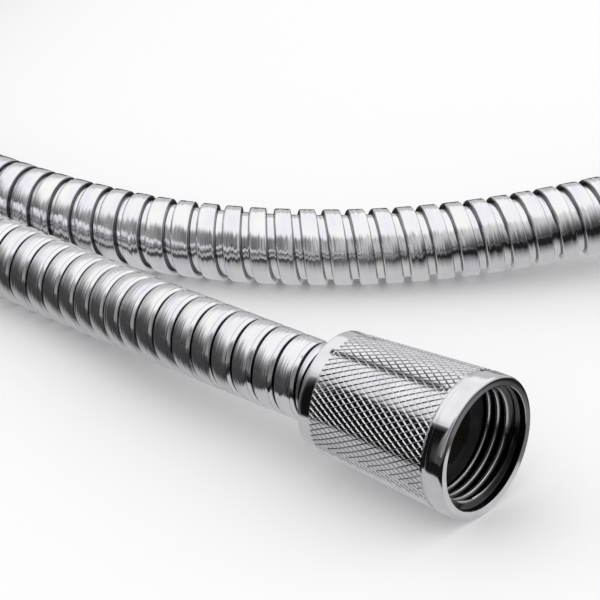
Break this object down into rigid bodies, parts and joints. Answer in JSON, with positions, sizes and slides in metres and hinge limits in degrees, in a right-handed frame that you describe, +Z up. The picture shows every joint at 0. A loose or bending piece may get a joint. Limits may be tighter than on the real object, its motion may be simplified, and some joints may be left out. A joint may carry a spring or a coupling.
{
  "type": "shower hose",
  "caption": "Flexible metal shower hose with an inner tube and a knurled conical swivel nut with a female pipe thread at each end, lying on a floor with its spare length coiled.",
  "frame": {"origin": "centre of the underside of the box round the two couplings, on the floor that the hose lies on", "axes": "+X along the front coupling's axis, out of its mouth; +Z up; +Y from the front coupling towards the rear one"},
  "size_m": [0.4027, 0.176, 0.0312],
  "materials": {
    "nut_chrome": "polished, diamond knurl",
    "cap_chrome": "polished",
    "hose_steel": "bright, fine lines round the hose",
    "inner_tube": "matt",
    "washer_rubber": "matt",
    "insert_brass": "turned",
    "bush_plastic": "moulded",
    "crimp_steel": "plain",
    "tie_fabric": "woven hook and loop"
  },
  "bodies": {
    "hose": {"front_washer": "washer_rubber", "front_insert": "insert_brass", "front_hose_cap": "cap_chrome", "front_crimp_ring": "crimp_steel", "rear_washer": "washer_rubber", "rear_insert": "insert_brass", "rear_hose_cap": "cap_chrome", "rear_crimp_ring": "crimp_steel", "front_hose": "hose_steel", "rear_hose": "hose_steel", "hose_coil": "hose_steel", "front_tube": "inner_tube", "rear_tube": "inner_tube", "coil_tube": "inner_tube", "coil_tie_one": "tie_fabric", "coil_tie_two": "tie_fabric"},
    "front_bush_body": {"front_bush": "bush_plastic"},
    "front_nut_body": {"front_nut": "nut_chrome"},
    "rear_bush_body": {"rear_bush": "bush_plastic"},
    "rear_nut_body": {"rear_nut": "nut_chrome"}
  },
  "joints": [
    {"name": "front_nut_travel", "type": "slide", "parent": "hose", "child": "front_bush_body", "axis": [-1, 0, 0], "range_m": [0, 0.006]},
    {"name": "front_nut_turn", "type": "hinge", "parent": "front_bush_body", "child": "front_nut_body", "pos_m": [0.01223, -0.07585, 0.01215], "axis": [1, 0, 0], "continuous": true},
    {"name": "rear_nut_travel", "type": "slide", "parent": "hose", "child": "rear_bush_body", "axis": [-0.4067, -0.9135, 0], "range_m": [0, 0.006]},
    {"name": "rear_nut_turn", "type": "hinge", "parent": "rear_bush_body", "child": "rear_nut_body", "pos_m": [0.00965, 0.08324, 0.01215], "axis": [0.4067, 0.9135, 0], "continuous": true}
  ]
}
